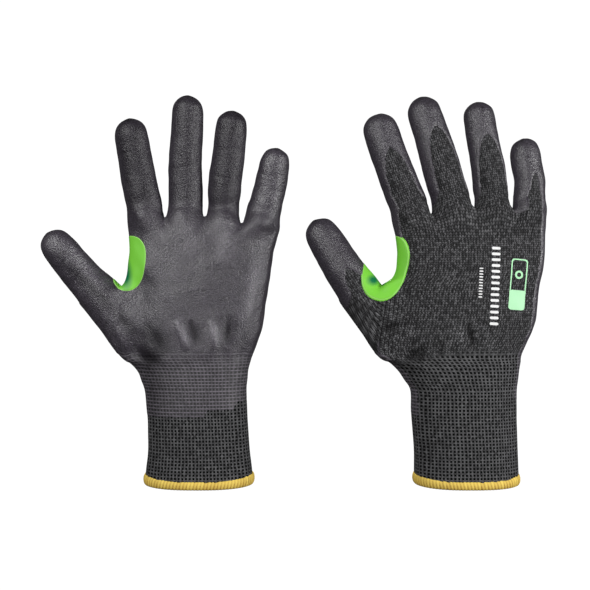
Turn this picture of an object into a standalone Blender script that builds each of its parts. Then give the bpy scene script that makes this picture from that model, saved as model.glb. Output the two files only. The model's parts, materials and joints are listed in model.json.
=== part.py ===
"""A pair of cut resistant knitted gloves, each holding the shape of the hand that wears it.

Both gloves stand on their cuff hems with the fingers up and the thumbs towards -X. The left
glove turns its coated palm to -Y and the right glove turns its bare knitted back to -Y.

Each glove is one knitted liner with a foam coating dipped over the palm and the fingertips, a
reinforcing pad in the thumb crotch, a printed size badge, and a knitted cuff with an elastic
thread and an overlocked hem. The liner and the coating are divided where the hand bends: at the
finger roots, at the middle finger joints and at the wrist. All sizes are in millimetres until
the meshes are made in metres.
"""

import math

import bmesh
import bpy
from mathutils import Vector

MM = 0.001

# Layers, measured outwards from the liner's outer face.
LINER_THICKNESS = 1.3
LAYER_GAP = 0.3
COATING_THICKNESS = 0.7
PAD_THICKNESS = 1.0
BADGE_THICKNESS = 0.3
EDGE_CLEARANCE = 0.2

# The cuff's edge.
HEM_HEIGHT = 6.0
HEM_PROUD = 1.8
ELASTIC_RADIUS = 0.4
ELASTIC_TURNS = 4
ELASTIC_STEPS_PER_TURN = 20

# The hand's cross-section is a superellipse with this exponent.
SECTION_POWER = 2.5
SIDE_REACH = 0.93
SIDE_DEPTH = 0.2

# A finger's section has twelve corners, in this order: four on the palm side from left to
# right, two on the right side, four on the back from right to left, two on the left side.
FINGER_ANGLES = [135, 105, 75, 45, 15, -15, -45, -75, -105, -135, -165, 165]
FINGER_DEPTH = 0.92
ROOT_RISE = 7.0
THUMB_ROOT_RISE = 6.0
BOW_AT_JOINT = 1.0
BOW_AT_TIP = 3.5

COLUMNS_PER_FINGER = 3
FINGER_ORDER = ["index", "middle", "ring", "little"]
HAND_COLUMNS = COLUMNS_PER_FINGER * len(FINGER_ORDER)

# Rows of the outline from the hem to the knuckles: (height, left edge, right edge, half depth).
# Positions are measured from the middle of the cuff. The rows from THUMB_ROW to THUMB_ROW + 3
# border the thumb's root, and the last row is the knuckle line.
WRIST_ROW = 3
THUMB_ROW = 5

GLOVES = {
    "left": {
        "centre_x": -60.45,
        "palm": -1,
        "rows": [
            (6.3, -33.8, 34.3, 22.5),
            (22.5, -31.8, 32.2, 21.5),
            (42.5, -32.2, 30.9, 21.0),
            (60.5, -34.0, 30.2, 20.5),
            (72.5, -38.3, 31.4, 20.0),
            (84.5, -49.5, 34.2, 19.5),
            (98.0, -50.0, 39.5, 19.0),
            (111.5, -48.5, 41.4, 18.3),
            (125.0, -46.7, 43.5, 17.5),
            (136.0, -44.6, 45.2, 16.5),
            (147.5, -43.4, 46.8, 15.0),
            (157.5, -44.0, 49.4, 13.6),
            (167.0, -44.9, 51.3, 12.0),
        ],
        "webs": [(-21.3, 167.5), (3.8, 168.5), (27.3, 164.5)],
        "root_heights": [169.5, 170.0, 168.5, 166.0],
        "fingers": {
            "index": {"joint": (-38.7, 196.5), "tip": (-42.4, 222.6), "half": (10.9, 10.5, 9.9)},
            "middle": {"joint": (-8.6, 201.0), "tip": (-7.0, 237.7), "half": (10.4, 10.1, 9.4)},
            "ring": {"joint": (16.9, 195.0), "tip": (21.1, 228.0), "half": (9.4, 10.0, 9.3)},
            "little": {"joint": (45.1, 188.0), "tip": (48.4, 205.0), "half": (10.6, 9.8, 8.7)},
        },
        "thumb": {
            "root": (-57.8, 114.9),
            "joint": (-74.6, 133.4),
            "tip": (-89.0, 151.4),
            "half": (13.3, 11.4, 10.2),
        },
    },
    "right": {
        "centre_x": 108.45,
        "palm": 1,
        "rows": [
            (6.3, -32.2, 33.4, 22.5),
            (22.5, -32.2, 32.8, 21.5),
            (42.5, -33.8, 32.2, 21.0),
            (60.5, -34.6, 32.2, 20.5),
            (72.5, -42.1, 33.9, 20.0),
            (84.5, -56.0, 35.8, 19.5),
            (98.5, -55.5, 42.2, 19.0),
            (112.5, -53.0, 44.8, 18.3),
            (126.5, -50.0, 46.2, 17.5),
            (137.0, -44.1, 48.6, 16.5),
            (147.5, -42.5, 49.7, 15.0),
            (158.5, -44.0, 50.1, 13.6),
            (169.5, -46.0, 51.0, 12.0),
        ],
        "webs": [(-21.0, 170.5), (5.7, 174.0), (30.2, 172.5)],
        "root_heights": [171.5, 175.0, 175.5, 173.5],
        "fingers": {
            "index": {"joint": (-43.4, 196.5), "tip": (-53.4, 225.6), "half": (11.8, 11.4, 10.6)},
            "middle": {"joint": (-15.0, 202.5), "tip": (-25.8, 236.7), "half": (11.7, 11.5, 10.4)},
            "ring": {"joint": (15.0, 199.5), "tip": (8.6, 234.2), "half": (10.2, 10.2, 9.3)},
            "little": {"joint": (40.4, 193.5), "tip": (38.1, 211.1), "half": (9.5, 9.3, 8.8)},
        },
        "thumb": {
            "root": (-61.1, 113.9),
            "joint": (-77.0, 137.0),
            "tip": (-90.0, 158.4),
            "half": (13.8, 12.2, 10.8),
        },
    },
}

MATERIALS = {
    "knit": ((0.028, 0.028, 0.030), 0.85),
    "coating": ((0.060, 0.056, 0.060), 0.55),
    "pad": ((0.19, 0.60, 0.05), 0.45),
    "hem": ((0.86, 0.60, 0.06), 0.75),
    "elastic": ((0.10, 0.10, 0.10), 0.60),
    "print": ((0.42, 0.80, 0.46), 0.50),
}


def clear_scene():
    """Removes whatever the scene opened with."""
    for obj in list(bpy.data.objects):
        bpy.data.objects.remove(obj, do_unlink=True)


def make_materials():
    """One plain Principled material for each kind of material in the gloves."""
    made = {}
    for name, (colour, roughness) in MATERIALS.items():
        material = bpy.data.materials.new(name)
        material.use_nodes = True
        shader = material.node_tree.nodes["Principled BSDF"]
        shader.inputs["Base Color"].default_value = (*colour, 1.0)
        shader.inputs["Roughness"].default_value = roughness
        shader.inputs["Metallic"].default_value = 0.0
        material.diffuse_color = (*colour, 1.0)
        made[name] = material
    return made


def mix(a, b, share):
    return a + (b - a) * share


class Surface:
    """The outer face of one glove's liner: points, and quads that each know their place."""

    def __init__(self, glove):
        self.glove = glove
        self.points = []
        self.quads = []
        self.places = []

    def add(self, x, y, z):
        """Adds a point given from the cuff's middle, with y counted towards the palm."""
        self.points.append(Vector((x + self.glove["centre_x"], y * self.glove["palm"], z)))
        return len(self.points) - 1

    def band(self, lower, upper, part, row, columns=None):
        """Joins two loops of equal length with quads, or only the columns asked for."""
        for i in columns if columns is not None else range(len(lower)):
            j = (i + 1) % len(lower)
            self.quads.append((lower[i], lower[j], upper[j], upper[i]))
            self.places.append((part, row, i))

    def triangles(self):
        """Every quad as two triangles, cut along its shorter diagonal."""
        found = []
        for (a, b, c, d), place in zip(self.quads, self.places):
            across = (self.points[a] - self.points[c]).length
            other = (self.points[b] - self.points[d]).length
            if across <= other:
                found += [((a, b, c), place), ((a, c, d), place)]
            else:
                found += [((a, b, d), place), ((b, c, d), place)]
        return found

    def normals(self):
        """The outward direction at each point, from the area-weighted faces round it."""
        summed = [Vector() for _ in self.points]
        for (a, b, c), _ in self.triangles():
            normal = (self.points[b] - self.points[a]).cross(self.points[c] - self.points[a])
            for i in (a, b, c):
                summed[i] += normal
        return [n.normalized() * -self.glove["palm"] for n in summed]


def section_depth(x, left, right, depth):
    """How far the hand's surface is from its middle plane at x."""
    reach = min(1.0, abs(2 * x - left - right) / (right - left))
    return depth * (1 - reach**SECTION_POWER) ** (1 / SECTION_POWER)


def column_shares(glove):
    """Where the column lines stand across the hand, from 0 at the left to 1 at the right."""
    _, left, right, _ = glove["rows"][-1]
    edges = [left, *[x for x, _ in glove["webs"]], right]
    stops = []
    for start, end in zip(edges, edges[1:]):
        stops += [mix(start, end, k / COLUMNS_PER_FINGER) for k in range(COLUMNS_PER_FINGER)]
    stops.append(right)
    return [(x - left) / (right - left) for x in stops]


def side_reach(left, right):
    """The x of the two side columns and of the first and last column on each face."""
    middle = (left + right) / 2
    half = (right - left) / 2
    side = half * (1 - SIDE_DEPTH**SECTION_POWER) ** (1 / SECTION_POWER)
    return middle, half * SIDE_REACH, side


def hand_loop(surface, row):
    """One closed row round the hand or the cuff: palm side, right side, back, left side."""
    glove = surface.glove
    z, left, right, depth = glove["rows"][row]
    middle, reach, side = side_reach(left, right)
    shares = column_shares(glove)
    across = [(middle - reach + 2 * reach * s) for s in shares]
    depths = [section_depth(x, left, right, depth) for x in across]
    if THUMB_ROW <= row <= THUMB_ROW + 3:
        root_depth = glove["thumb"]["half"][0] * 1.04
        at_edge = (THUMB_ROW, THUMB_ROW + 3)
        first = root_depth * math.sin(math.radians(45 if row in at_edge else 75))
        for k in range(COLUMNS_PER_FINGER):
            depths[k] = mix(first, depths[k], k / COLUMNS_PER_FINGER)
        across[0] = left
    palm_side = [surface.add(x, y, z) for x, y in zip(across, depths)]
    right_side = [surface.add(middle + side, s * SIDE_DEPTH * depth, z) for s in (1, -1)]
    back = [surface.add(x, -y, z) for x, y in zip(reversed(across), reversed(depths))]
    left_x = left if THUMB_ROW <= row <= THUMB_ROW + 3 else middle - side
    left_side = [surface.add(left_x, s * SIDE_DEPTH * depth, z) for s in (-1, 1)]
    return palm_side + right_side + back + left_side


def knuckle_loop(surface):
    """The hand's last row: it rises over each finger root and dips at the webs."""
    glove = surface.glove
    _, left, right, depth = glove["rows"][-1]
    edges = [left, *[x for x, _ in glove["webs"]], right]
    web_heights = [None, *[z for _, z in glove["webs"]], None]
    places = []
    for f in range(len(FINGER_ORDER)):
        top = glove["root_heights"][f]
        for k in range(COLUMNS_PER_FINGER + 1):
            if k == COLUMNS_PER_FINGER and f < len(FINGER_ORDER) - 1:
                continue
            x = mix(edges[f], edges[f + 1], k / COLUMNS_PER_FINGER)
            web = web_heights[f + (k == COLUMNS_PER_FINGER)]
            outer = k in (0, COLUMNS_PER_FINGER)
            if outer and web is not None:
                places.append((x, depth * 0.62, web + 0.5))
            elif outer:
                places.append((x + (1.2 if k == 0 else -1.2), depth * 0.60, top))
            else:
                places.append((x, depth * 0.97, top))
    palm_side = [surface.add(*p) for p in places]
    right_side = [surface.add(right, s * SIDE_DEPTH * depth, places[-1][2]) for s in (1, -1)]
    back = [surface.add(x, -y, z) for x, y, z in reversed(places)]
    left_side = [surface.add(left, s * SIDE_DEPTH * depth, places[0][2]) for s in (-1, 1)]
    return palm_side + right_side + back + left_side


def finger_loops_at_knuckles(surface, loop):
    """Divides the knuckle row into a twelve-cornered loop for each finger, adding the webs."""
    depth = surface.glove["rows"][-1][3]
    palm = loop[: HAND_COLUMNS + 1]
    right_side = loop[HAND_COLUMNS + 1 : HAND_COLUMNS + 3]
    back = loop[HAND_COLUMNS + 3 : 2 * HAND_COLUMNS + 4][::-1]
    left_side = loop[2 * HAND_COLUMNS + 4 :]
    dividers = [left_side[::-1]]
    for x, z in surface.glove["webs"]:
        dividers.append([surface.add(x, s * SIDE_DEPTH * depth, z) for s in (1, -1)])
    dividers.append(right_side)
    loops = []
    for f in range(len(FINGER_ORDER)):
        start = f * COLUMNS_PER_FINGER
        end = start + COLUMNS_PER_FINGER + 1
        loops.append(
            palm[start:end] + dividers[f + 1] + back[start:end][::-1] + dividers[f][::-1]
        )
    return loops


def finger_section(surface, centre, along, half):
    """Twelve points round a finger whose middle line runs along the given direction."""
    palm_way = Vector((0, 1, 0))
    across = palm_way.cross(along).normalized()
    out = along.cross(across).normalized()
    loop = []
    for angle in FINGER_ANGLES:
        a = math.radians(angle)
        p = centre + across * (math.cos(a) * half) + out * (math.sin(a) * half * FINGER_DEPTH)
        loop.append(surface.add(*p))
    return loop


def finger_line(root, joint, tip):
    """The finger's middle line in 3D, bowed slightly towards the palm."""
    return [
        Vector((root[0], 0.0, root[1])),
        Vector((joint[0], BOW_AT_JOINT, joint[1])),
        Vector((tip[0], BOW_AT_TIP, tip[1])),
    ]


def finger_frames(root, spec, rise):
    """The finger's sections as (part, centre, direction, half width), from root to tip."""
    start, joint, tip = finger_line(root, spec["joint"], spec["tip"])
    lower = (joint - start).normalized()
    upper = (tip - joint).normalized()
    root_half, joint_half, tip_half = spec["half"]
    first = start + lower * rise
    bend = (lower + upper).normalized()
    frames = [
        ("base", first, lower, root_half),
        ("base", (first + joint) / 2, lower, mix(root_half, joint_half, 0.5)),
        ("joint", joint, bend, joint_half),
        ("tip", (joint + tip) / 2, upper, mix(joint_half, tip_half, 0.5)),
        ("tip", tip, upper, tip_half),
    ]
    for rise_share in (0.55, 0.86):
        half = tip_half * math.sqrt(1 - rise_share**2)
        frames.append(("tip", tip + upper * tip_half * rise_share, upper, half))
    return frames


def add_finger(surface, name, root_loop, root, spec, rise, root_part):
    """Builds one finger on its root loop and closes its tip with a patch of nine quads."""
    frames = finger_frames(root, spec, rise)
    loops = [finger_section(surface, centre, way, half) for _, centre, way, half in frames]
    surface.band(root_loop, loops[0], root_part, 0)
    surface.band(loops[0], loops[1], f"{name}_base", 0)
    surface.band(loops[1], loops[2], f"{name}_base", 1)
    for row in range(2, len(loops) - 1):
        surface.band(loops[row], loops[row + 1], f"{name}_tip", row - 2)
    close_tip(surface, name, loops[-1], frames[-1], spec["half"][2])


def close_tip(surface, name, loop, frame, tip_half):
    """Fills the last loop with a three by three patch that bulges to the tip."""
    _, centre, way, _ = frame
    glove = surface.glove
    local = [
        Vector((p.x - glove["centre_x"], p.y * glove["palm"], p.z))
        for p in (surface.points[i] for i in loop)
    ]
    bulge = way * tip_half * 0.13
    grid = [[None] * 4 for _ in range(4)]
    edge_cells = [(0, 0), (1, 0), (2, 0), (3, 0), (3, 1), (3, 2), (3, 3), (2, 3), (1, 3), (0, 3)]
    edge_cells += [(0, 2), (0, 1)]
    for index, (column, line) in zip(loop, edge_cells):
        grid[line][column] = index
    corners = [local[0], local[3], local[6], local[9]]
    for line in (1, 2):
        for column in (1, 2):
            u, v = column / 3, line / 3
            palm_edge = mix(corners[0], corners[1], u)
            back_edge = mix(corners[3], corners[2], u)
            grid[line][column] = surface.add(*(mix(palm_edge, back_edge, v) + bulge))
    cell = 0
    for line in range(3):
        for column in range(3):
            quad = (
                grid[line][column],
                grid[line][column + 1],
                grid[line + 1][column + 1],
                grid[line + 1][column],
            )
            surface.quads.append(quad)
            surface.places.append((f"{name}_tip", 9, cell))
            cell += 1


def glove_surface(glove):
    """The whole outer face of one glove's liner, from the hem to the fingertips."""
    surface = Surface(glove)
    last = len(glove["rows"]) - 1
    loops = [hand_loop(surface, row) for row in range(last)] + [knuckle_loop(surface)]
    size = len(loops[0])
    thumb_columns = {size - 3, size - 2, size - 1}
    for row in range(last):
        part = "cuff" if row < WRIST_ROW else "hand"
        beside_thumb = THUMB_ROW <= row < THUMB_ROW + 3
        columns = [i for i in range(size) if not (beside_thumb and i in thumb_columns)]
        surface.band(loops[row], loops[row + 1], part, row, columns)
    for f, loop in enumerate(finger_loops_at_knuckles(surface, loops[-1])):
        name = FINGER_ORDER[f]
        inner = [surface.points[i] for i in loop]
        middle_x = sum(p.x for p in inner) / len(inner) - glove["centre_x"]
        root = (middle_x, glove["root_heights"][f])
        spec = glove["fingers"][name]
        add_finger(surface, name, loop, root, spec, ROOT_RISE, f"{name}_root")
    lower, upper = loops[THUMB_ROW], loops[THUMB_ROW + 3]
    second, third = loops[THUMB_ROW + 1], loops[THUMB_ROW + 2]
    palm_edge, back_edge = 0, size - 3
    thumb_loop = [lower[palm_edge], second[palm_edge], third[palm_edge], upper[palm_edge]]
    thumb_loop += [upper[size - 1], upper[size - 2]]
    thumb_loop += [upper[back_edge], third[back_edge], second[back_edge], lower[back_edge]]
    thumb_loop += [lower[size - 2], lower[size - 1]]
    thumb = glove["thumb"]
    add_finger(surface, "thumb", thumb_loop, thumb["root"], thumb, THUMB_ROOT_RISE, "thumb_root")
    return surface


def boundary_of(faces):
    """The directed edges of a patch that only one of its triangles uses."""
    edges = {(f[i], f[(i + 1) % 3]) for f in faces for i in range(3)}
    return [(a, b) for a, b in edges if (b, a) not in edges]


def pulled_back(points, faces):
    """The patch's points, with its edge drawn in so that neighbouring pieces stay apart."""
    edge = {a for pair in boundary_of(faces) for a in pair}
    inward = {i: Vector() for i in edge}
    for face in faces:
        middle = sum((points[i] for i in face), Vector()) / 3
        for i in face:
            if i in edge:
                inward[i] += middle - points[i]
    moved = {i: points[i].copy() for face in faces for i in face}
    for i, way in inward.items():
        moved[i] += way.normalized() * EDGE_CLEARANCE
    return moved


def link_mesh(name, bm, material):
    """Turns a closed bmesh in millimetres into a named object in metres."""
    bmesh.ops.recalc_face_normals(bm, faces=bm.faces[:])
    bmesh.ops.scale(bm, vec=Vector((MM, MM, MM)), verts=bm.verts[:])
    mesh = bpy.data.meshes.new(name)
    bm.to_mesh(mesh)
    bm.free()
    mesh.materials.append(material)
    mesh.shade_smooth()
    mesh.set_sharp_from_angle(angle=math.radians(40))
    obj = bpy.data.objects.new(name, mesh)
    bpy.context.scene.collection.objects.link(obj)
    return obj


def shell(name, surface, chosen, low, high, material):
    """A closed layer over the chosen places, between two heights above the liner's face."""
    faces = [face for face, place in surface.triangles() if chosen(*place)]
    normals = surface.normals()
    places = pulled_back(surface.points, faces)
    bm = bmesh.new()
    source = bm.verts.layers.int.new("source")
    made = {}
    for i, point in places.items():
        made[i] = bm.verts.new(point)
        made[i][source] = i
    for face in faces:
        bm.faces.new([made[i] for i in face])
    grown = bmesh.ops.extrude_face_region(bm, geom=bm.faces[:], use_keep_orig=True)
    lifted = {item for item in grown["geom"] if isinstance(item, bmesh.types.BMVert)}
    for vertex in bm.verts:
        height = high if vertex in lifted else low
        vertex.co += normals[vertex[source]] * height
    return link_mesh(name, bm, material)


# Columns of the hand that the coating covers: the palm and most of each side.
PALM_COLUMNS = set(range(HAND_COLUMNS + 2)) | {2 * HAND_COLUMNS + 4, 2 * HAND_COLUMNS + 5}
FINGER_PALM_COLUMNS = {0, 1, 2, 3, 4, 10, 11}
PAD_ROWS = (THUMB_ROW + 3, THUMB_ROW + 5)
PAD_SIDE = {0, 2 * HAND_COLUMNS + 2, 2 * HAND_COLUMNS + 3, 2 * HAND_COLUMNS + 4}
PAD_SIDE |= {2 * HAND_COLUMNS + 5}
PAD_THUMB_COLUMNS = {2, 3, 4, 5, 6}
BADGE_ROWS = (THUMB_ROW + 2, THUMB_ROW + 4)
BADGE_COLUMNS = {HAND_COLUMNS + 6, HAND_COLUMNS + 7}
ROOT_PARTS = {f"{name}_root" for name in [*FINGER_ORDER, "thumb"]}


def in_pad(part, row, column):
    """The saddle between the thumb and the index finger."""
    if part == "hand":
        return PAD_ROWS[0] <= row < PAD_ROWS[1] and column in PAD_SIDE
    return part == "thumb_root" and column in PAD_THUMB_COLUMNS


def in_hand(part, row, column):
    return part == "hand" or part in ROOT_PARTS


def in_palm_coating(part, row, column):
    if in_pad(part, row, column):
        return False
    if part == "hand":
        return column in PALM_COLUMNS
    return part in ROOT_PARTS and column in FINGER_PALM_COLUMNS


def in_cuff_coating(part, row, column):
    """The dip line runs on over the top of the cuff, on the palm side only."""
    return part == "cuff" and row == WRIST_ROW - 1 and column < HAND_COLUMNS


def in_badge(part, row, column):
    return part == "hand" and BADGE_ROWS[0] <= row < BADGE_ROWS[1] and column in BADGE_COLUMNS


def in_finger_coating(name, segment):
    """The coating covers the palm side and the sides, and wraps right round the last joint."""

    def chosen(part, row, column):
        if part != f"{name}_{segment}":
            return False
        if segment == "base":
            return column in FINGER_PALM_COLUMNS
        return row >= 1 or column in FINGER_PALM_COLUMNS

    return chosen


def cuff_outline(glove, height, offset):
    """A function of the turn, giving the cuff's surface at a height, moved in by an offset."""
    rows = glove["rows"]
    upper = next(i for i in range(1, len(rows)) if rows[i][0] >= height)
    low, high = rows[upper - 1], rows[upper]
    share = (height - low[0]) / (high[0] - low[0])
    _, left, right, depth = (mix(a, b, share) for a, b in zip(low, high))
    half_x = (right - left) / 2 - offset
    half_y = depth - offset

    def at(turn):
        c, s = math.cos(turn), math.sin(turn)
        power = 2 / SECTION_POWER
        x = (left + right) / 2 + half_x * math.copysign(abs(c) ** power, c)
        y = half_y * math.copysign(abs(s) ** power, s)
        return Vector((x + glove["centre_x"], y * glove["palm"], height))

    return at


def make_hem(name, surface, material):
    """The overlocked edge: a closed ring of six-sided section under the cuff's last row."""
    loop = surface.quads[: 2 * HAND_COLUMNS + 6]
    ring = [quad[0] for quad in loop]
    normals = surface.normals()
    inner = -LINER_THICKNESS - 0.6
    top = HEM_HEIGHT
    profile = [
        (inner, 0.0),
        (HEM_PROUD - 0.6, 0.0),
        (HEM_PROUD, 1.6),
        (HEM_PROUD, top - 1.6),
        (0.6, top),
        (inner, top),
    ]
    bm = bmesh.new()
    loops = []
    for out, height in profile:
        verts = []
        for i in ring:
            flat = Vector((normals[i].x, normals[i].y, 0)).normalized()
            point = surface.points[i] + flat * out
            verts.append(bm.verts.new((point.x, point.y, height)))
        loops.append(verts)
    for low, high in zip(loops, loops[1:] + loops[:1]):
        for k in range(len(ring)):
            n = (k + 1) % len(ring)
            bm.faces.new((low[k], low[n], high[n], high[k]))
    return link_mesh(name, bm, material)


def make_elastic(name, glove, material):
    """The elastic thread that draws the cuff in: one helix just inside the knitted cuff."""
    inset = LINER_THICKNESS + 2.5 * LAYER_GAP + ELASTIC_RADIUS
    start, end = glove["rows"][0][0] + 3, glove["rows"][WRIST_ROW][0] - 4
    curve = bpy.data.curves.new(name, "CURVE")
    curve.dimensions = "3D"
    curve.bevel_depth = ELASTIC_RADIUS * MM
    curve.bevel_resolution = 0
    curve.use_fill_caps = True
    steps = ELASTIC_TURNS * ELASTIC_STEPS_PER_TURN
    spline = curve.splines.new("POLY")
    spline.points.add(steps)
    for k in range(steps + 1):
        height = mix(start, end, k / steps)
        point = cuff_outline(glove, height, inset)(math.tau * k / ELASTIC_STEPS_PER_TURN)
        spline.points[k].co = (*(point * MM), 1.0)
    curve.materials.append(material)
    obj = bpy.data.objects.new(name, curve)
    bpy.context.scene.collection.objects.link(obj)
    return obj


def make_glove(side, materials):
    """All the pieces of one glove."""
    glove = GLOVES[side]
    surface = glove_surface(glove)
    knit, coating = materials["knit"], materials["coating"]
    coat_low, coat_high = LAYER_GAP, LAYER_GAP + COATING_THICKNESS
    pad_high = LAYER_GAP + PAD_THICKNESS
    badge_high = LAYER_GAP + BADGE_THICKNESS

    def layer(part, chosen, low, high, material):
        shell(f"{side}_{part}", surface, chosen, low, high, material)

    layer("hand_liner", in_hand, -LINER_THICKNESS, 0, knit)
    layer("palm_coating", in_palm_coating, coat_low, coat_high, coating)
    layer("thumb_crotch_pad", in_pad, coat_low, pad_high, materials["pad"])
    layer("size_badge", in_badge, coat_low, badge_high, materials["print"])
    layer("cuff_liner", lambda part, row, column: part == "cuff", -LINER_THICKNESS, 0, knit)
    layer("cuff_coating", in_cuff_coating, coat_low, coat_high, coating)
    for name in [*FINGER_ORDER, "thumb"]:
        for segment in ("base", "tip"):
            whole = f"{name}_{segment}"
            layer(f"{whole}_liner", lambda p, r, c, w=whole: p == w, -LINER_THICKNESS, 0, knit)
            chosen = in_finger_coating(name, segment)
            layer(f"{whole}_coating", chosen, coat_low, coat_high, coating)
    make_hem(f"{side}_cuff_hem", surface, materials["hem"])
    make_elastic(f"{side}_cuff_elastic", glove, materials["elastic"])


def main():
    clear_scene()
    materials = make_materials()
    for side in GLOVES:
        make_glove(side, materials)


main()
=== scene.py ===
"""The looks of a pair of knitted cut resistant gloves with foam-coated palms.

Each glove is one smooth surface, shaped by rows round the cuff and hand and by rings round the
fingers. That surface is knitted fabric everywhere. The foam coating, the green pad in the thumb
crotch and the print on the back are layers over it. Sizes are in millimetres in a glove's own
coordinates: x from the middle of the cuff, p towards the palm, z up from the hem.
"""

import json
import math
from functools import partial

import bpy
import numpy as np
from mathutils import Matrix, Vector
from mathutils.bvhtree import BVHTree

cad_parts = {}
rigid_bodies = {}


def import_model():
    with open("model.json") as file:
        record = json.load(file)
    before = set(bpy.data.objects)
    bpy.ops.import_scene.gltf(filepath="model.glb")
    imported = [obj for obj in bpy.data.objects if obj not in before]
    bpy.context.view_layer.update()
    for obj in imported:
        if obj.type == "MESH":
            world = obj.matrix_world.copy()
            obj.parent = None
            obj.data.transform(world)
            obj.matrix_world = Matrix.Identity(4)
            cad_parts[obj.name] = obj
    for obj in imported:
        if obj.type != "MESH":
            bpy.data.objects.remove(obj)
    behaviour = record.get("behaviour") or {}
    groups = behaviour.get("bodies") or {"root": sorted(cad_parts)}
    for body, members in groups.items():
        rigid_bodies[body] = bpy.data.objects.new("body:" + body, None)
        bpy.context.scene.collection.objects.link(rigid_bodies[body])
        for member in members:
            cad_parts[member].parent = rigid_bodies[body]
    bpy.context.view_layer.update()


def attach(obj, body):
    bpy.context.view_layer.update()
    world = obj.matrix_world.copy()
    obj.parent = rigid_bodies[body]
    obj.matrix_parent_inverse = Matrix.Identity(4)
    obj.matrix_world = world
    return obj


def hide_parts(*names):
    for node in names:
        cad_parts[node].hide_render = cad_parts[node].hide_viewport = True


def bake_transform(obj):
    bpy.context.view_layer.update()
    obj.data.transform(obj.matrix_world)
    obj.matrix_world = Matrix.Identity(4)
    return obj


MM = 0.001

# How often the coarse surface is halved for the outer face and for the lining inside it.
LEVEL = 4
LINING_LEVEL = 2
LINER_THICKNESS = 1.2

# The hand's section is a superellipse. Its palm and back reach SIDE_REACH of the half width, and
# the two points on each side stand at SIDE_DEPTH of the half depth.
SECTION_POWER = 2.5
SIDE_REACH = 0.93
SIDE_DEPTH = 0.2

# Shares of the half depth along the knuckles: at a web, at the hand's outer corners and between
# them. The outer corners stand KNUCKLE_CORNER inside the outline.
WEB_DEPTH = 0.62
CORNER_DEPTH = 0.54
KNUCKLE_DEPTH = 0.97
KNUCKLE_CORNER = 3.3

# A finger's section has twelve corners: four on the palm side from left to right, two on the
# right, four on the back from right to left and two on the left.
FINGER_ANGLES = [135, 105, 75, 45, 15, -15, -45, -75, -105, -135, -165, 165]
FINGER_DEPTH = 0.92

# Where a finger's first ring stands above its root, how far its middle joint's bend reaches to
# each side, and how far its middle line bows towards the palm.
ROOT_RISE = 7.0
THUMB_ROOT_RISE = 6.0
BEND_REACH = 6.5
BOW_AT_JOINT = 1.0
BOW_AT_TIP = 3.5

FINGER_ORDER = ["index", "middle", "ring", "little"]
DIGITS = [*FINGER_ORDER, "thumb"]
COLUMNS_PER_FINGER = 3
HAND_COLUMNS = COLUMNS_PER_FINGER * len(FINGER_ORDER)

# The pieces of a glove. Each face of the surface carries its piece's place in this list.
PARTS = ["cuff", "hand", *[f"{digit}_{end}" for digit in DIGITS for end in ("base", "tip")]]

# Heights of the rows below the thumb's root; the first is inside the hem and the one at
# CUFF_ROW is where the knitted cuff piece ends.
CUFF_HEIGHTS = [4.6, 13.0, 20.0, 27.0, 34.5, 42.5, 50.5, 60.5, 66.5, 72.5, 78.5]
CUFF_ROW = 6
THUMB_ROW = len(CUFF_HEIGHTS)

# Stitches in one column of the surface, and the height of one course.
WALES_PER_COLUMN = 3
COURSE = 2.1

# Stitches per wale and per course drawn on the hand and on the cuff.
HAND_STITCH = (1.45, 1.25)
CUFF_STITCH = (0.8, 1.0)

# The knit changes from the hand's stitch to the cuff's along an arch: its height at the sides,
# its rise, its middle and its width.
CUFF_STITCH_LINE = (78.5, 7.0, 8.0, 32.0)

# Ridges and hollows of the gathered fabric: (start, end, half width, height) in x and z.
# Their heights also paint shade into the hollows and light onto the ridges, through the fold field.
PALM_FOLDS = [
    ((-12.5, 106.0), (-5.0, 86.0), 2.6, 1.7),
    ((9.0, 106.0), (12.0, 87.0), 2.4, 1.5),
    ((37.0, 143.0), (29.0, 100.0), 4.6, 0.8),
    ((18.0, 172.0), (18.0, 136.0), 5.5, 0.7),
    ((-4.0, 170.0), (-4.0, 140.0), 5.5, 0.45),
    ((-4.0, 106.0), (1.0, 88.0), 3.0, -1.0),
    ((20.0, 108.0), (19.0, 88.0), 3.2, -1.0),
    ((-32.0, 104.0), (-16.0, 82.0), 5.5, -0.85),
    ((-38.0, 86.0), (-22.0, 77.0), 5.0, -0.9),
    ((-56.0, 106.0), (-40.0, 84.0), 3.2, 0.5),
    ((-60.0, 119.0), (-36.0, 94.0), 3.2, -0.8),
    ((34.0, 160.0), (46.0, 156.0), 2.5, 0.3),
]
BACK_FOLDS = [
    ((-1.5, 104.0), (3.0, 87.0), 1.8, -1.4),
    ((-8.0, 104.0), (-5.0, 87.0), 3.2, 1.1),
    ((-40.0, 79.0), (-24.0, 92.0), 2.2, -1.1),
    ((-32.0, 77.0), (-27.0, 88.0), 1.8, -0.9),
    ((-20.0, 80.0), (-15.0, 94.0), 2.0, -0.8),
    ((-62.0, 96.0), (-33.0, 106.0), 2.4, -0.9),
    ((-50.0, 88.0), (-30.0, 98.0), 3.0, 0.8),
    ((10.0, 84.0), (14.0, 98.0), 2.6, 0.6),
]

# How much paler or darker the palm side of each digit is painted: painted light where above zero,
# painted shade where below.
FINGER_PAINTED_SHADING = {"index": -0.75, "middle": -0.55, "ring": -0.70, "little": 0.30, "thumb": 0.30}

# Streaks of painted light and painted shade on the palm side, each as start, end, half width and
# change: a painted highlight and a painted shade down the thumb, and painted shade down the thumb
# side of the wrist.
PAINTED_STREAKS = [
    ((-86.0, 158.0), (-56.0, 124.0), 3.2, 1.0),
    ((-93.0, 150.0), (-50.0, 110.0), 3.4, -1.1),
    ((-27.0, 106.0), (-27.0, 40.0), 11.0, -0.5),
]

# Slow swellings of the filled fabric: height, length, seed, and the heights where each one fades
# in from the cuff.
SWELLINGS = [(0.25, 26.0, 3, 56, 86), (0.10, 9.0, 5, 50, 80)]

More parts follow.
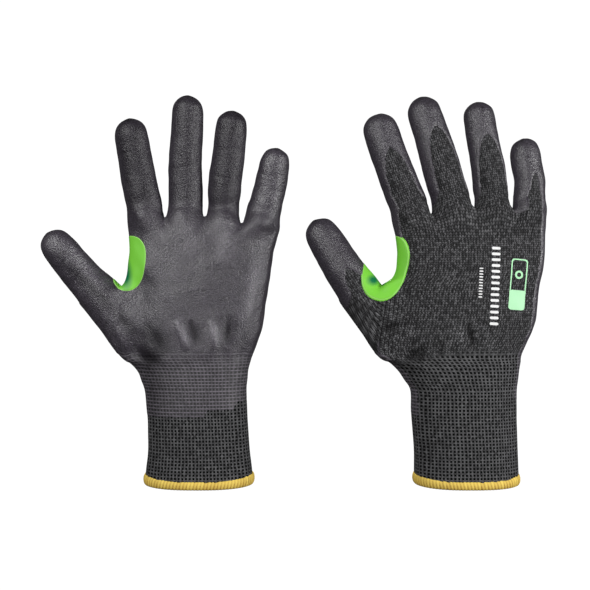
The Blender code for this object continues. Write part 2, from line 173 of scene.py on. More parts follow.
# The coating: its thickness, what it loses where it is soaked into the knit, and how deep its
# edge sinks in. It goes a strip's width round the sides of the hand, except beside the thumb,
# where the strip fades out and in again between these heights.
COATING = (0.62, 0.42, 0.12)
COAT_STRIP = 3.6
STRIP_FADE = ((80.5, 92.5), (142.5, 152.5))
SOAKED = (74.5, 88.5)

# The coating's lower edge on the cuff: its height, then each step up as x, x and rise.
COAT_END = 44.6
COAT_STEPS = [(4.0, 8.0, 4.4), (22.0, 26.0, 5.1)]

# The pad: how square its ellipse is, its rise and how deep its edge sinks in, and its spot of
# painted shade on the palm side and on the back, as a place from the pad's centre and a reach.
PAD_POWER = 2.3
PAD_RISE = (0.85, 0.15)
PAD_SHADE_SPOTS = [((-0.8, -7.5), (4.8, 11.5)), ((-7.6, -8.6), (5.4, 4.2))]

# The overlocked hem: a padded ring of stitches round the cuff's edge, highest at both ends.
HEM_BOTTOM = 0.4
HEM_TOP = 5.7
HEM_SIDE_LIFT = (1.0, 2.6)
HEM_MIDDLE = -0.4
HEM_HALF_THICKNESS = 1.5
HEM_STITCH = 2.1
HEM_STEPS = 6
HEM_SIDES = 20

# The elastic thread inside the cuff, wound between two heights.
THREAD_RADIUS = 0.3
THREAD_TURNS = 12
THREAD_STEPS = 64
THREAD_SIDES = 6
THREAD_HEIGHTS = (9.0, 50.0)
THREAD_GAP = 0.35

# The print on the back, in x and z: a column of bars, a column of small bars, and a badge with a
# filled patch and a ring, each at a share of the way down it.
MARK = {"top": (17.3, 151.5), "bottom": (15.0, 101.0), "count": 14, "size": (5.4, 1.7)}
SMALL_MARK = {"top": (7.7, 138.0), "bottom": (6.6, 118.5), "count": 11, "size": (2.4, 0.8)}
BADGE = {"top": (32.2, 143.0), "bottom": (29.4, 111.3), "width": 10.6, "corner": 1.8, "line": 0.8}
PATCH = {"place": 0.805, "share": 0.385, "inset": 0.3, "corner": 1.7}
RING = {"place": 0.31, "size": 5.2, "corner": 2.5, "line": 1.2}
PRINT_LIFT = 0.16
PRINT_STEP = 0.8

# The white surround: how bright it looks, and how much light it gives. The floor is in metres.
SURROUND = 1.05
SURROUND_LIGHT = 0.06
FLOOR_REACH = 3.0

# Each lamp's place and size in metres, and its power in watts. All point at AIM.
AIM = (0.0, 0.0, 0.13)
LAMPS = {
    "key": ((-0.50, -0.78, 0.56), 0.36, 8.0),
    "fill": ((0.80, -0.48, 0.26), 0.30, 7.0),
    "behind": ((0.0, 1.05, 0.42), 0.60, 13.0),
}

# The camera's distance, height and side step, and the width it sees at the gloves, in metres.
CAMERA_DISTANCE = 0.68
CAMERA_HEIGHT = 0.1206
CAMERA_SIDE = 0.00055
VIEW_WIDTH = 0.37465
SENSOR_WIDTH = 36.0

# Each glove's outline as (height, left edge, right edge, half depth) from the hem to the
# knuckles, measured from the cuff's middle. Then the webs between the fingers, each finger's
# root height, joint, tip and half widths, and "arch", the bare knit on each digit's back: how far
# up it ends, its half width, its lean in degrees, and where the coating's own edge starts.
GLOVES = {
    "left": {
        "centre_x": -60.45,
        "palm": -1,
        "rows": [
            (6.0, -33.8, 34.3, 22.5),
            (22.5, -31.8, 32.2, 21.5),
            (42.5, -32.2, 30.9, 21.0),
            (60.5, -34.0, 30.2, 20.5),
            (72.5, -38.3, 31.4, 20.0),
            (84.5, -49.5, 34.2, 19.5),
            (98.0, -50.0, 39.5, 19.0),
            (111.5, -48.5, 41.4, 18.3),
            (125.0, -46.7, 43.5, 17.5),
            (136.0, -44.6, 45.2, 16.5),
            (147.5, -43.4, 46.8, 15.0),
            (157.5, -44.0, 49.4, 13.6),
            (167.0, -44.9, 51.3, 12.0),
        ],
        "webs": [(-21.3, 167.5), (3.8, 168.5), (27.3, 164.5)],
        "root_heights": [169.5, 170.0, 168.5, 166.0],
        "fingers": {
            "index": {"joint": (-38.7, 196.5), "tip": (-42.4, 221.6), "half": (10.9, 10.5, 9.9)},
            "middle": {"joint": (-8.6, 201.0), "tip": (-7.0, 236.7), "half": (10.4, 10.1, 9.4)},
            "ring": {"joint": (16.9, 195.0), "tip": (21.1, 227.0), "half": (9.4, 10.0, 9.3)},
            "little": {"joint": (45.1, 188.0), "tip": (48.4, 204.0), "half": (10.6, 9.8, 8.7)},
        },
        "thumb": {
            "root": (-57.8, 114.9),
            "joint": (-74.6, 133.4),
            "tip": (-89.0, 151.4),
            "half": (13.3, 11.4, 10.2),
        },
        "arch": {
            "index": (38.0, 10.5, 3.0, 3.0),
            "middle": (50.0, 11.0, 12.0, 3.0),
            "ring": (44.0, 10.5, 9.0, 3.0),
            "little": (21.0, 6.5, 12.0, -8.0),
            "thumb": (24.0, 10.0, 5.0, 3.0),
        },
        "pad": {"centre": (-43.5, 140.4), "reach": (17.9, 11.7), "lean": 9.0},
    },
    "right": {
        "centre_x": 108.45,
        "palm": 1,
        "rows": [
            (6.0, -32.2, 33.4, 22.5),
            (22.5, -32.2, 32.8, 21.5),
            (42.5, -33.8, 32.2, 21.0),
            (60.5, -34.6, 32.2, 20.5),
            (72.5, -42.1, 33.9, 20.0),
            (84.5, -56.0, 35.8, 19.5),
            (98.5, -55.5, 42.2, 19.0),
            (112.5, -53.0, 44.8, 18.3),
            (126.5, -50.0, 46.2, 17.5),
            (134.0, -43.9, 48.0, 16.8),
            (147.5, -42.5, 49.7, 15.0),
            (158.5, -44.0, 50.1, 13.6),
            (169.5, -46.0, 51.0, 12.0),
        ],
        "webs": [(-21.0, 170.5), (5.7, 174.0), (30.2, 172.5)],
        "root_heights": [171.5, 175.0, 175.5, 173.5],
        "fingers": {
            "index": {"joint": (-43.4, 196.5), "tip": (-53.2, 225.6), "half": (11.8, 11.4, 10.6)},
            "middle": {"joint": (-15.0, 202.5), "tip": (-25.0, 236.4), "half": (11.7, 11.5, 10.4)},
            "ring": {"joint": (15.0, 199.5), "tip": (9.6, 234.2), "half": (10.2, 10.2, 9.3)},
            "little": {"joint": (41.4, 193.5), "tip": (38.9, 211.0), "half": (9.9, 9.3, 8.8)},
        },
        "thumb": {
            "root": (-61.1, 113.9),
            "joint": (-77.0, 137.0),
            "tip": (-90.0, 158.4),
            "half": (13.8, 12.2, 10.8),
        },
        "arch": {
            "index": (44.0, 10.5, 3.0, 3.0),
            "middle": (53.0, 11.0, 15.0, 3.0),
            "ring": (47.0, 10.5, 9.0, 3.0),
            "little": (22.5, 6.5, 12.0, -8.0),
            "thumb": (27.0, 10.0, 5.0, 3.0),
        },
        "pad": {"centre": (-51.3, 138.3), "reach": (21.5, 13.5), "lean": 18.0},
    },
}


def mix(a, b, share):
    """From a to b."""
    return a + (b - a) * share


def smoothstep(low, high, value):
    """From 0 at low to 1 at high, level at both ends."""
    t = np.clip((value - low) / (high - low), 0.0, 1.0)
    return t * t * (3.0 - 2.0 * t)


def add_object(name, data):
    """Puts a mesh, lamp or camera into the scene."""
    obj = bpy.data.objects.new(name, data)
    bpy.context.scene.collection.objects.link(obj)
    return obj


# ---------------------------------------------------------------- the cage of the surface


class Cage:
    """Points and quads of the coarse surface, with each quad's part and stitch places."""

    def __init__(self):
        self.points = []
        self.quads = []
        self.parts = []
        self.stitches = []

    def add(self, x, p, z):
        """Adds a point and returns its number."""
        self.points.append((x, p, z))
        return len(self.points) - 1

    def band(self, lower, upper, part, courses, columns=None):
        """Joins two loops with quads; courses gives the stitch row at each loop."""
        for i in columns if columns is not None else range(len(lower)):
            j = (i + 1) % len(lower)
            self.quads.append((lower[i], lower[j], upper[j], upper[i]))
            self.parts.append(part)
            u0, u1 = i * WALES_PER_COLUMN, (i + 1) * WALES_PER_COLUMN
            v0, v1 = courses
            self.stitches.append([(u0, v0), (u1, v0), (u1, v1), (u0, v1)])


def section_depth(x, left, right, depth):
    """How far the hand's surface is from its middle plane at x."""
    reach = min(1.0, abs(2 * x - left - right) / (right - left))
    return depth * (1 - reach**SECTION_POWER) ** (1 / SECTION_POWER)


def row_at(glove, z):
    """The outline's left edge, right edge and half depth at a height."""
    heights, *edges = zip(*glove["rows"])
    return [np.interp(z, heights, edge) for edge in edges]


def finger_edges(glove):
    """The places across the hand where the fingers start and end."""
    _, left, right, _ = glove["rows"][-1]
    return [left, *[x for x, _ in glove["webs"]], right]


def column_shares(glove):
    """Where the column lines stand across the hand, from 0 at the left to 1 at the right."""
    edges = finger_edges(glove)
    stops = []
    for start, end in zip(edges, edges[1:]):
        stops += [mix(start, end, k / COLUMNS_PER_FINGER) for k in range(COLUMNS_PER_FINGER)]
    stops.append(edges[-1])
    return [(x - edges[0]) / (edges[-1] - edges[0]) for x in stops]


def hand_loop(cage, glove, z, beside_thumb, at_edge):
    """One closed row round the hand or cuff: palm side, right side, back, left side."""
    left, right, depth = row_at(glove, z)
    middle, half = (left + right) / 2, (right - left) / 2
    side = half * (1 - SIDE_DEPTH**SECTION_POWER) ** (1 / SECTION_POWER)
    reach = half * SIDE_REACH
    across = [middle - reach + 2 * reach * s for s in column_shares(glove)]
    depths = [section_depth(x, left, right, depth) for x in across]
    if beside_thumb:
        first = glove["thumb"]["half"][0] * 1.04 * math.sin(math.radians(45 if at_edge else 75))
        for k in range(COLUMNS_PER_FINGER):
            depths[k] = mix(first, depths[k], k / COLUMNS_PER_FINGER)
        across[0] = left
    palm_side = [cage.add(x, d, z) for x, d in zip(across, depths)]
    right_side = [cage.add(middle + side, s * SIDE_DEPTH * depth, z) for s in (1, -1)]
    back = [cage.add(x, -d, z) for x, d in zip(reversed(across), reversed(depths))]
    left_x = left if beside_thumb else middle - side
    left_side = [cage.add(left_x, s * SIDE_DEPTH * depth, z) for s in (-1, 1)]
    return palm_side + right_side + back + left_side


def knuckle_loop(cage, glove):
    """The hand's last row: it rises over each finger root and dips at the webs."""
    _, left, _, depth = glove["rows"][-1]
    edges = finger_edges(glove)
    web_heights = [None, *[z for _, z in glove["webs"]], None]
    places = []
    for f, name in enumerate(FINGER_ORDER):
        root, joint = finger_root(glove, name), finger_spec(glove, name)["joint"]
        tilt = 0.8 * (root[0] - joint[0]) / (joint[1] - root[1])
        for k in range(COLUMNS_PER_FINGER + 1):
            if k == COLUMNS_PER_FINGER and f < len(FINGER_ORDER) - 1:
                continue
            x = mix(edges[f], edges[f + 1], k / COLUMNS_PER_FINGER)
            top = root[1] + tilt * (x - root[0])
            web = web_heights[f + (k == COLUMNS_PER_FINGER)]
            outer = k in (0, COLUMNS_PER_FINGER)
            if outer and web is not None:
                places.append((x, depth * WEB_DEPTH, web + 0.5))
            elif outer:
                inward = KNUCKLE_CORNER if k == 0 else -KNUCKLE_CORNER
                places.append((x + inward, depth * CORNER_DEPTH, top))
            else:
                places.append((x, depth * KNUCKLE_DEPTH, top))
    palm_side = [cage.add(*p) for p in places]
    right = row_at(glove, places[-1][2])[1]
    right_side = [cage.add(right, s * SIDE_DEPTH * depth, places[-1][2]) for s in (1, -1)]
    back = [cage.add(x, -d, z) for x, d, z in reversed(places)]
    left_side = [cage.add(left, s * SIDE_DEPTH * depth, places[0][2]) for s in (-1, 1)]
    return palm_side + right_side + back + left_side


def root_loops(cage, glove, loop):
    """Divides the knuckle row into a loop for each finger, adding the webs between them."""
    depth = glove["rows"][-1][3]
    palm = loop[: HAND_COLUMNS + 1]
    right_side = loop[HAND_COLUMNS + 1 : HAND_COLUMNS + 3]
    back = loop[HAND_COLUMNS + 3 : 2 * HAND_COLUMNS + 4][::-1]
    left_side = loop[2 * HAND_COLUMNS + 4 :]
    dividers = [left_side[::-1]]
    for x, z in glove["webs"]:
        dividers.append([cage.add(x, s * SIDE_DEPTH * depth, z) for s in (1, -1)])
    dividers.append(right_side)
    loops = []
    for f in range(len(FINGER_ORDER)):
        start = f * COLUMNS_PER_FINGER
        end = start + COLUMNS_PER_FINGER + 1
        face = palm[start:end] + dividers[f + 1]
        loops.append(face + back[start:end][::-1] + dividers[f][::-1])
    return loops


def finger_root(glove, name):
    """The point where a finger's middle line starts."""
    if name == "thumb":
        return glove["thumb"]["root"]
    f, edges = FINGER_ORDER.index(name), finger_edges(glove)
    return ((edges[f] + edges[f + 1]) / 2, glove["root_heights"][f])


def finger_spec(glove, name):
    """The joint, tip and half widths of a finger or the thumb."""
    return glove["thumb"] if name == "thumb" else glove["fingers"][name]


def finger_line(glove, name):
    """The finger's root, middle joint and tip centre, bowed slightly towards the palm."""
    root, spec = finger_root(glove, name), finger_spec(glove, name)
    return [
        Vector((root[0], 0.0, root[1])),
        Vector((spec["joint"][0], BOW_AT_JOINT, spec["joint"][1])),
        Vector((spec["tip"][0], BOW_AT_TIP, spec["tip"][1])),
    ]


def finger_frames(glove, name):
    """The finger's rings as (part, centre, direction, half width), from root to tip."""
    start, joint, tip = finger_line(glove, name)
    root_half, joint_half, tip_half = finger_spec(glove, name)["half"]
    rise = THUMB_ROOT_RISE if name == "thumb" else ROOT_RISE
    lower = (joint - start).normalized()
    upper = (tip - joint).normalized()
    first = start + lower * rise
    last = joint - lower * BEND_REACH
    frames = [
        ("base", first, lower, root_half),
        ("base", (first + last) / 2, lower, mix(root_half, joint_half, 0.4)),
        ("tip", last, lower, mix(root_half, joint_half, 0.8)),
        ("tip", joint, (lower + upper).normalized(), joint_half),
        ("tip", joint + upper * BEND_REACH, upper, mix(joint_half, tip_half, 0.25)),
        ("tip", (joint + tip) / 2 + upper * 4, upper, mix(joint_half, tip_half, 0.6)),
        ("tip", tip, upper, tip_half),
    ]
    for share in (0.55, 0.86):
        half = tip_half * math.sqrt(1 - share**2)
        frames.append(("tip", tip + upper * tip_half * share, upper, half))
    return frames


def finger_ring(cage, centre, along, half):
    """Twelve points round a finger whose middle line runs along the given direction."""
    across = Vector((0, 1, 0)).cross(along).normalized()
    out = along.cross(across).normalized()
    loop = []
    for angle in FINGER_ANGLES:
        a = math.radians(angle)
        p = centre + across * (math.cos(a) * half) + out * (math.sin(a) * half * FINGER_DEPTH)
        loop.append(cage.add(*p))
    return loop


def add_finger(cage, glove, name, root_loop):
    """Builds one finger on its root loop and closes its tip with a patch of nine quads."""
    frames = finger_frames(glove, name)
    start = finger_line(glove, name)[0]
    loops = [root_loop]
    loops += [finger_ring(cage, centre, way, half) for _, centre, way, half in frames]
    base_z = start.z / COURSE
    steps = [base_z] + [base_z + (c - start).length / COURSE for _, c, _, _ in frames]
    segments = ["base", *[part for part, _, _, _ in frames[:-1]]]
    for k, segment in enumerate(segments):
        part = PARTS.index(f"{name}_{segment}")
        cage.band(loops[k], loops[k + 1], part, (steps[k], steps[k + 1]))
    close_tip(cage, name, loops[-1], frames[-1], finger_spec(glove, name)["half"][2])


def close_tip(cage, name, loop, frame, tip_half):
    """Fills the last ring with a three by three patch that bulges to the tip."""
    ring = [np.array(cage.points[i]) for i in loop]
    bulge = np.array(frame[2]) * tip_half * 0.13
    grid = [[None] * 4 for _ in range(4)]
    cells = [(0, 0), (1, 0), (2, 0), (3, 0), (3, 1), (3, 2), (3, 3), (2, 3), (1, 3), (0, 3)]
    cells += [(0, 2), (0, 1)]
    for index, (column, line) in zip(loop, cells):
        grid[line][column] = index
    for line in (1, 2):
        for column in (1, 2):
            palm_edge = mix(ring[0], ring[3], column / 3)
            back_edge = mix(ring[9], ring[6], column / 3)
            grid[line][column] = cage.add(*(mix(palm_edge, back_edge, line / 3) + bulge))
    for line in range(3):
        for column in range(3):
            near, far = grid[line], grid[line + 1]
            cage.quads.append((near[column], near[column + 1], far[column + 1], far[column]))
            cage.parts.append(PARTS.index(f"{name}_tip"))
            cage.stitches.append([(0.0, 0.0)] * 4)


def glove_cage(glove):
    """The whole outer face of one glove's liner, from the hem to the fingertips."""
    cage = Cage()
    upper_heights = [row[0] for row in glove["rows"] if row[0] > CUFF_HEIGHTS[-1]]
    heights = CUFF_HEIGHTS + upper_heights
    loops = []
    for row, z in enumerate(heights[:-1]):
        beside = THUMB_ROW <= row <= THUMB_ROW + 3
        loops.append(hand_loop(cage, glove, z, beside, row in (THUMB_ROW, THUMB_ROW + 3)))
    loops.append(knuckle_loop(cage, glove))
    size = len(loops[0])
    thumb_columns = {size - 3, size - 2, size - 1}
    for row in range(len(heights) - 1):
        part = PARTS.index("cuff" if row < CUFF_ROW else "hand")
        beside = THUMB_ROW <= row < THUMB_ROW + 3
        columns = [i for i in range(size) if not (beside and i in thumb_columns)]
        courses = (heights[row] / COURSE, heights[row + 1] / COURSE)
        cage.band(loops[row], loops[row + 1], part, courses, columns)
    for name, loop in zip(FINGER_ORDER, root_loops(cage, glove, loops[-1])):
        add_finger(cage, glove, name, loop)
    lower, second, third, upper = loops[THUMB_ROW : THUMB_ROW + 4]
    palm_edge, back_edge = 0, size - 3
    thumb_loop = [lower[palm_edge], second[palm_edge], third[palm_edge], upper[palm_edge]]
    thumb_loop += [upper[size - 1], upper[size - 2]]
    thumb_loop += [upper[back_edge], third[back_edge], second[back_edge], lower[back_edge]]
    thumb_loop += [lower[size - 2], lower[size - 1]]
    add_finger(cage, glove, "thumb", thumb_loop)
    return cage


# ---------------------------------------------------------------- the fine surface


def subdivide(cage, points, level):
    """Returns the points, quads, parts and stitch places of the subdivided cage."""
    mesh = bpy.data.meshes.new("cage")
    mesh.from_pydata([tuple(p) for p in points], [], cage.quads)
    part = mesh.attributes.new("part", "INT", "FACE")
    part.data.foreach_set("value", cage.parts)
    stitch = mesh.attributes.new("stitch", "FLOAT_VECTOR", "CORNER")
    flat = [c for four in cage.stitches for u, v in four for c in (u, v, 0.0)]
    stitch.data.foreach_set("vector", flat)
    obj = add_object("cage", mesh)
    modifier = obj.modifiers.new("Smooth", "SUBSURF")
    modifier.levels = level
    modifier.render_levels = level
    modifier.use_limit_surface = True
    graph = bpy.context.evaluated_depsgraph_get()
    fine = bpy.data.meshes.new_from_object(obj.evaluated_get(graph), depsgraph=graph)
    co = np.empty(len(fine.vertices) * 3)
    fine.vertices.foreach_get("co", co)
    quads = np.empty(len(fine.loops), np.int32)
    fine.loops.foreach_get("vertex_index", quads)
    parts = np.empty(len(fine.polygons), np.int32)
    fine.attributes["part"].data.foreach_get("value", parts)
    places = np.empty(len(fine.loops) * 3)
    fine.attributes["stitch"].data.foreach_get("vector", places)
    bpy.data.objects.remove(obj)
    bpy.data.meshes.remove(mesh)
    bpy.data.meshes.remove(fine)
    return co.reshape(-1, 3), quads.reshape(-1, 4), parts, places.reshape(-1, 4, 3)


def passing_through(cage):
    """Cage points moved so that the smooth surface runs through the wanted ones."""
    wanted = np.array(cage.points)
    guess = wanted.copy()
    for _ in range(6):
        got = subdivide(cage, guess, 1)[0][: len(wanted)]
        guess += (wanted - got) * 0.9
    return guess


def vertex_normals(points, quads):
    """Area-weighted normals in the sense of the quads' winding."""
    across = points[quads[:, 2]] - points[quads[:, 0]]
    other = points[quads[:, 3]] - points[quads[:, 1]]
    face = np.cross(across, other)
    normals = np.zeros_like(points)
    for k in range(4):
        np.add.at(normals, quads[:, k], face)
    return normals / np.maximum(np.linalg.norm(normals, axis=1, keepdims=True), 1e-9)


class Surface:
    """One glove's fine surface, in its own millimetre coordinates."""

    def __init__(self, side):
        self.side = side
        self.glove = GLOVES[side]
        cage = glove_cage(self.glove)
        guess = passing_through(cage)
        self.points, self.quads, self.parts, self.places = subdivide(cage, guess, LEVEL)
        self.rough = subdivide(cage, guess, LINING_LEVEL)
        self.turn()
        self.normals = vertex_normals(self.points, self.quads)
        self.vertex_part = np.zeros(len(self.points), np.int32)
        for k in range(4):
            np.maximum.at(self.vertex_part, self.quads[:, k], self.parts)
        self.on_body = self.vertex_part <= PARTS.index("hand")
        self.digits = {name: self.finger_places(name) for name in DIGITS}

    def turn(self):
        """Winds the quads so that their normals point out of the glove."""
        centre = self.points.mean(0)
        normals = vertex_normals(self.points, self.quads)
        if ((self.points - centre) * normals).sum() < 0:
            self.quads = self.quads[:, ::-1].copy()
            self.places = self.places[:, ::-1].copy()
            points, quads, parts, places = self.rough
            self.rough = (points, quads[:, ::-1].copy(), parts, places[:, ::-1].copy())

    def finger_places(self, name):
        """Every vertex's distance along a finger, angle from its back and distance from its
        middle line."""
        root, joint, tip = [np.array(v) for v in finger_line(self.glove, name)]
        lower = (joint - root) / np.linalg.norm(joint - root)
        upper = (tip - joint) / np.linalg.norm(tip - joint)
        past = ((self.points - joint) @ (lower + upper)) > 0
        way = np.where(past[:, None], upper, lower)
        start = np.where(past[:, None], joint, root)
        rel = self.points - start
        along = (rel * way).sum(1)
        away = rel - along[:, None] * way
        across = np.cross(np.array([0.0, 1.0, 0.0]), way)
        across /= np.linalg.norm(across, axis=1, keepdims=True)
        out = np.cross(way, across)
        palmwise = (away * out).sum(1)
        sideways = (away * across).sum(1)
        along += np.where(past, np.linalg.norm(joint - root), 0.0)
        angle = np.arctan2(sideways, -palmwise)
        return along, angle, np.hypot(palmwise, sideways)

    def on_digit(self, name):
        """Which vertices belong to a finger or the thumb."""
        return np.isin(self.vertex_part, [PARTS.index(f"{name}_{s}") for s in ("base", "tip")])


def finger_coat(surface, name):
    """Distance in mm into the coating: it leaves a pointed arch bare on the finger's back."""
    along, angle, radius = surface.digits[name]
    apex, reach, lean, _ = surface.glove["arch"][name]
    off = np.abs(angle - math.radians(lean)) * radius
    below = np.maximum(apex - along, 0.0)
    half_arch = reach * (1.0 - np.exp(-below / 14.0)) ** 0.75
    beyond = np.maximum(along - apex, 0.0)
    return np.where(beyond > 0, np.hypot(off, beyond), off - half_arch)


def hand_coat(surface):
    """Distance in mm into the coating on the hand: the palm and a narrow strip past it."""
    x, p, z = surface.points.T
    left, right, _ = row_at(surface.glove, z)
    fade_out, fade_in = STRIP_FADE
    by_thumb = smoothstep(*fade_out, z) * (1.0 - smoothstep(*fade_in, z))
    left_strip = COAT_STRIP * (1.0 - by_thumb) - (x - left) * (1.0 + 3.0 * by_thumb)
    return np.maximum(p * 0.5, np.maximum(left_strip, COAT_STRIP - (right - x)))


def coat_field(surface):
    """Distance in mm into the coating at every vertex, below zero where the knit is bare."""
    x, p, z = surface.points.T
    field = hand_coat(surface)
    for name in DIGITS:
        along, _, _ = surface.digits[name]
        *_, start = surface.glove["arch"][name]
        own = surface.on_digit(name)
        share = smoothstep(start, start + 10.0, along) * own
        root = p * 0.5 if name == "thumb" else field
        field = np.where(own, mix(root, finger_coat(surface, name), share), field)
    field = field + 0.35 * swell(surface.points, 5.0, 11)
    edge = COAT_END
    for low, high, rise in COAT_STEPS:
        edge = edge + rise * smoothstep(low, high, x)
    return np.minimum(field, z - edge - 0.4 * np.sin(x * 1.1))


def pad_field(surface):
    """Distance in mm into the pad, an ellipse over the thumb crotch seen from the palm."""
    x, _, z = surface.points.T
    pad = surface.glove["pad"]
    lean = math.radians(pad["lean"])
    dx, dz = x - pad["centre"][0], z - pad["centre"][1]
    major = dx * math.sin(lean) + dz * math.cos(lean)
    minor = dx * math.cos(lean) - dz * math.sin(lean)
    long, wide = pad["reach"]
    reach = np.abs(major / long) ** PAD_POWER + np.abs(minor / wide) ** PAD_POWER
    return (1.0 - reach ** (1 / PAD_POWER)) * wide


def pad_shadow(surface):
    """The part of the pad painted darker green as shade: one end of its inner edge on each face."""
    x, p, z = surface.points.T
    centre_x, centre_z = surface.glove["pad"]["centre"]
    palm, back = [
        1.0 - np.hypot((x - centre_x - dx) / wide, (z - centre_z - dz) / high)
        for (dx, dz), (wide, high) in PAD_SHADE_SPOTS
    ]
    return np.where(p > 0, palm, back)


def swell(points, length, seed):
    """A smooth random field of about unit height with the given wavelength."""
    rng = np.random.default_rng(seed)
    total = np.zeros(len(points))
    for _ in range(7):
        way = rng.normal(size=3)
        way *= 2 * math.pi / length / np.linalg.norm(way) * rng.uniform(0.6, 1.5)
        total += np.sin(points @ way + rng.uniform(0, 2 * math.pi))
    return total / 2.6


def fold(points, start, end, width):
    """One on a line drawn across the glove's face, falling to nothing beside it."""
    way = np.array(end) - np.array(start)
    rel = points[:, [0, 2]] - np.array(start)
    along = np.clip(rel @ way / (way @ way), 0.0, 1.0)
    away = rel - along[:, None] * way
    taper = 1.0 - (2.0 * along - 1.0) ** 2
    return taper * np.exp(-(away**2).sum(1) / width**2)


def gathers(surface):
    """The ridges and hollows of the gathered fabric near the wrist, in mm."""
    p = surface.points[:, 1]
    height = np.zeros(len(p))
    for face, folds in ((1.0, PALM_FOLDS), (-1.0, BACK_FOLDS)):
        share = smoothstep(0.0, 5.0, face * p) * surface.on_body
        for start, end, width, rise in folds:
            height += rise * share * fold(surface.points, start, end, width)
    return height


def painted_shading(surface):
    """Above zero where light is painted to make the fabric paler, and below zero where shade is
    painted to make it darker: in the hollows and on the ridges of the gathered fabric, down the
    digits and in streaks.
    """
    tone = gathers(surface)
    for name, change in FINGER_PAINTED_SHADING.items():
        along, angle, _ = surface.digits[name]
        share = smoothstep(1.7, 2.7, np.abs(angle)) * smoothstep(0.0, 14.0, along)
        tone += np.where(surface.on_digit(name), change * share, 0.0)
    palm_side = smoothstep(0.0, 5.0, surface.points[:, 1])
    for start, end, width, change in PAINTED_STREAKS:
        tone += change * palm_side * fold(surface.points, start, end, width)
    return tone


def relief(surface):
    """How far the filled fabric swells and creases from the plain shape, in mm."""
    x, _, z = surface.points.T
    height = np.zeros(len(z))
    for rise, length, seed, low, high in SWELLINGS:
        height += rise * swell(surface.points, length, seed) * smoothstep(low, high, z)
    gather = np.cos(2 * math.pi * (x + 4 * np.sin(z * 0.09)) / 13.0)
    window = smoothstep(66, 80, z) * (1 - smoothstep(84, 108, z))
    height += np.where(surface.on_body, 0.3 * gather * window, 0.0)
    height += gathers(surface)
    for name in DIGITS:
        along, angle, _ = surface.digits[name]
        own = surface.on_digit(name)
        root, joint, tip = finger_line(surface.glove, name)
        middle = (joint - root).length
        far = middle + (tip - joint).length * 0.55
        palm_share = smoothstep(1.2, 2.4, np.abs(angle))
        for place in (middle, far):
            wander = 0.8 * np.sin(angle * 3.0 + place)
            crease = np.exp(-(((along - place - wander) / 1.4) ** 2))
            height -= np.where(own, 0.16 * crease * palm_share, 0.0)
    return height


# ---------------------------------------------------------------- pieces


def world(surface, points):
    """From a glove's own millimetres to the row frame in metres."""
    out = points.copy()
    out[:, 0] += surface.glove["centre_x"]
    out[:, 1] *= surface.glove["palm"]
    return out * MM


def add_fields(mesh, fields):
    """Writes numbers that the materials read at each point."""
    for key, values in fields.items():
        layer = mesh.attributes.new(key, "FLOAT", "POINT")
        layer.data.foreach_set("value", np.asarray(values, np.float32))


def make_piece(name, surface, points, quads, places, normals, fields, material):
    """A mesh object from a choice of quads, with whole-surface normals at its edges."""
    used, index = np.unique(quads, return_inverse=True)
    faces = index.reshape(quads.shape)
    if surface.glove["palm"] < 0:
        faces, places = faces[:, ::-1], places[:, ::-1]
    mesh = bpy.data.meshes.new(name)
    mesh.vertices.add(len(used))
    mesh.vertices.foreach_set("co", world(surface, points[used]).ravel())
    mesh.loops.add(faces.size)
    mesh.loops.foreach_set("vertex_index", faces.ravel().astype(np.int32))
    mesh.polygons.add(len(faces))
    mesh.polygons.foreach_set("loop_start", np.arange(0, faces.size, 4, dtype=np.int32))
    mesh.update(calc_edges=True)
    stitch = mesh.attributes.new("stitch", "FLOAT_VECTOR", "CORNER")
    stitch.data.foreach_set("vector", np.ascontiguousarray(places).ravel())
    add_fields(mesh, {key: values[used] for key, values in fields.items()})
    mesh.shade_smooth()
    turned = normals[used] * np.array([1.0, surface.glove["palm"], 1.0])
    mesh.normals_split_custom_set_from_vertices([tuple(n) for n in turned])
    mesh.materials.append(material)
    return add_object(name, mesh)


def place_piece(surface, obj, part):
    """Attaches a cuff piece to its glove's cuff body, and bakes any other piece's place into its
    mesh.
    """
    side, glove = surface.side, surface.glove
    if part == "cuff":
        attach(obj, f"{side}_cuff")
        return
    if part == "hand":
        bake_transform(obj)
        return
    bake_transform(obj)


def liner_pieces(surface, skin, normals, fields, materials):
    """The knitted liner, with its inner face."""
    points, quads, parts, places = surface.rough
    outward = vertex_normals(points, quads)
    inner = points - outward * LINER_THICKNESS
    joined = np.vstack([skin, inner])
    all_normals = np.vstack([normals, -outward])
    both = {k: np.concatenate([v, np.full(len(inner), -9.0)]) for k, v in fields.items()}
    for number, part in enumerate(PARTS):
        keep = surface.parts == number
        lining = parts == number
        faces = np.vstack([surface.quads[keep], quads[lining][:, ::-1] + len(skin)])
        stitch = np.vstack([surface.places[keep], places[lining][:, ::-1]])
        name = f"{surface.side}_{part}_knit"
        obj = make_piece(name, surface, joined, faces, stitch, all_normals, both, materials["knit"])
        place_piece(surface, obj, part)
        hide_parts(f"{surface.side}_{part}_liner")


def layer_pieces(surface, skin, normals, field, height, word, nodes, fields, material, slot):
    """A layer over the skin wherever its field is above zero; its edge sinks into the knit."""
    lifted = skin + normals * height[:, None]
    lifted_normals = vertex_normals(lifted, surface.quads)
    near = field[surface.quads].max(1) > -0.8
    for number, part in enumerate(PARTS):
        keep = near & (surface.parts == number)
        if keep.sum() < 12:
            continue
        name = f"{surface.side}_{part}_{word}"
        quads, places = surface.quads[keep], surface.places[keep]
        obj = make_piece(name, surface, lifted, quads, places, lifted_normals, fields, material)
        place_piece(surface, obj, part)
        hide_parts(f"{surface.side}_{nodes(part)}")


def plain_piece(name, surface, points, faces, material, fields=None):
    """A small smooth object from points and faces in the glove's own millimetres."""
    mesh = bpy.data.meshes.new(name)
    mesh.from_pydata([tuple(v) for v in world(surface, np.array(points))], [], faces)
    add_fields(mesh, fields or {})
    mesh.materials.append(material)
    mesh.shade_smooth()
    if surface.glove["palm"] > 0:
        mesh.flip_normals()
    return add_object(name, mesh)


